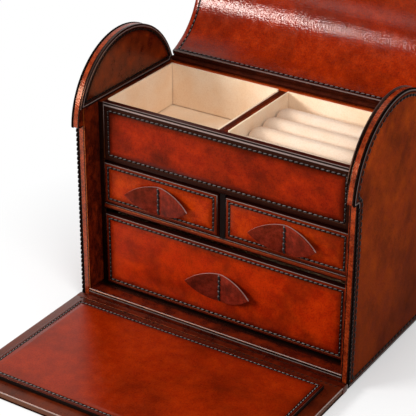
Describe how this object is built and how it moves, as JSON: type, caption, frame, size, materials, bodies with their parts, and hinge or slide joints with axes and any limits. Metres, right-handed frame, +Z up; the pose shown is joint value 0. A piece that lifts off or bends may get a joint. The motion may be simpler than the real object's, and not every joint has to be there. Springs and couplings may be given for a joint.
{
  "type": "jewellery box",
  "caption": "Leather-covered jewellery box with domed ends, a barrel lid, a drop front, a suede tray with ring rolls, and drawers with leaf-shaped pulls.",
  "frame": {"origin": "middle of the underside of the base, on the table", "axes": "+X to the right seen from the front, +Y to the back, +Z up"},
  "size_m": [0.26, 0.3324, 0.315],
  "materials": {
    "chestnut_leather": "glazed",
    "tan_leather": "glazed",
    "dark_leather": "waxed",
    "suede": "napped",
    "covered_board": "leather covered",
    "board": "sanded"
  },
  "bodies": {
    "box": {"base_pad": "suede", "base_board": "covered_board", "recess_floor_leather": "chestnut_leather", "left_side_panel": "covered_board", "right_side_panel": "covered_board", "left_outer_facing": "tan_leather", "right_outer_facing": "tan_leather", "left_edge_binding": "chestnut_leather", "right_edge_binding": "chestnut_leather", "left_dome_facing": "dark_leather", "right_dome_facing": "dark_leather", "left_cheek": "covered_board", "right_cheek": "covered_board", "left_recess_leather": "dark_leather", "right_recess_leather": "dark_leather", "back_panel": "covered_board", "back_facing": "tan_leather", "drawer_runners": "board", "drawer_shelf": "chestnut_leather", "drawer_upright": "covered_board", "tray_floor": "board", "fascia_panel": "chestnut_leather", "tray_back_rail": "tan_leather", "tray_partition": "chestnut_leather", "left_tray_lining": "suede", "right_tray_lining": "suede", "ring_roll_1": "suede", "ring_roll_2": "suede", "ring_roll_3": "suede", "ring_roll_4": "suede"},
    "lid": {"lid_shell": "board", "lid_cover": "tan_leather", "lid_lining": "chestnut_leather", "lid_hinge_bead": "dark_leather", "lid_front_edging": "dark_leather"},
    "drop_front": {"flap_board": "board", "flap_outer_facing": "tan_leather", "flap_inner_facing": "chestnut_leather", "flap_raised_panel": "chestnut_leather", "flap_hinge_rail": "dark_leather"},
    "large_drawer": {"large_drawer_box": "board", "large_drawer_front": "chestnut_leather", "large_drawer_lining": "suede", "large_drawer_pull": "dark_leather"},
    "left_drawer": {"left_drawer_box": "board", "left_drawer_front": "chestnut_leather", "left_drawer_lining": "suede", "left_drawer_pull": "dark_leather"},
    "right_drawer": {"right_drawer_box": "board", "right_drawer_front": "chestnut_leather", "right_drawer_lining": "suede", "right_drawer_pull": "dark_leather"}
  },
  "joints": [
    {"name": "lid_hinge", "type": "hinge", "parent": "box", "child": "lid", "pos_m": [0, 0.06026, 0.18359], "axis": [1, 0, 0], "range_deg": [0, 92]},
    {"name": "drop_front_hinge", "type": "hinge", "parent": "box", "child": "drop_front", "pos_m": [0, -0.0699, 0.0035], "axis": [-1, 0, 0], "range_deg": [0, 90]},
    {"name": "large_drawer_slide", "type": "slide", "parent": "box", "child": "large_drawer", "axis": [0, 1, 0], "range_m": [-0.075, 0]},
    {"name": "left_drawer_slide", "type": "slide", "parent": "box", "child": "left_drawer", "axis": [0, 1, 0], "range_m": [-0.07, 0]},
    {"name": "right_drawer_slide", "type": "slide", "parent": "box", "child": "right_drawer", "axis": [0, 1, 0], "range_m": [-0.07, 0]}
  ]
}
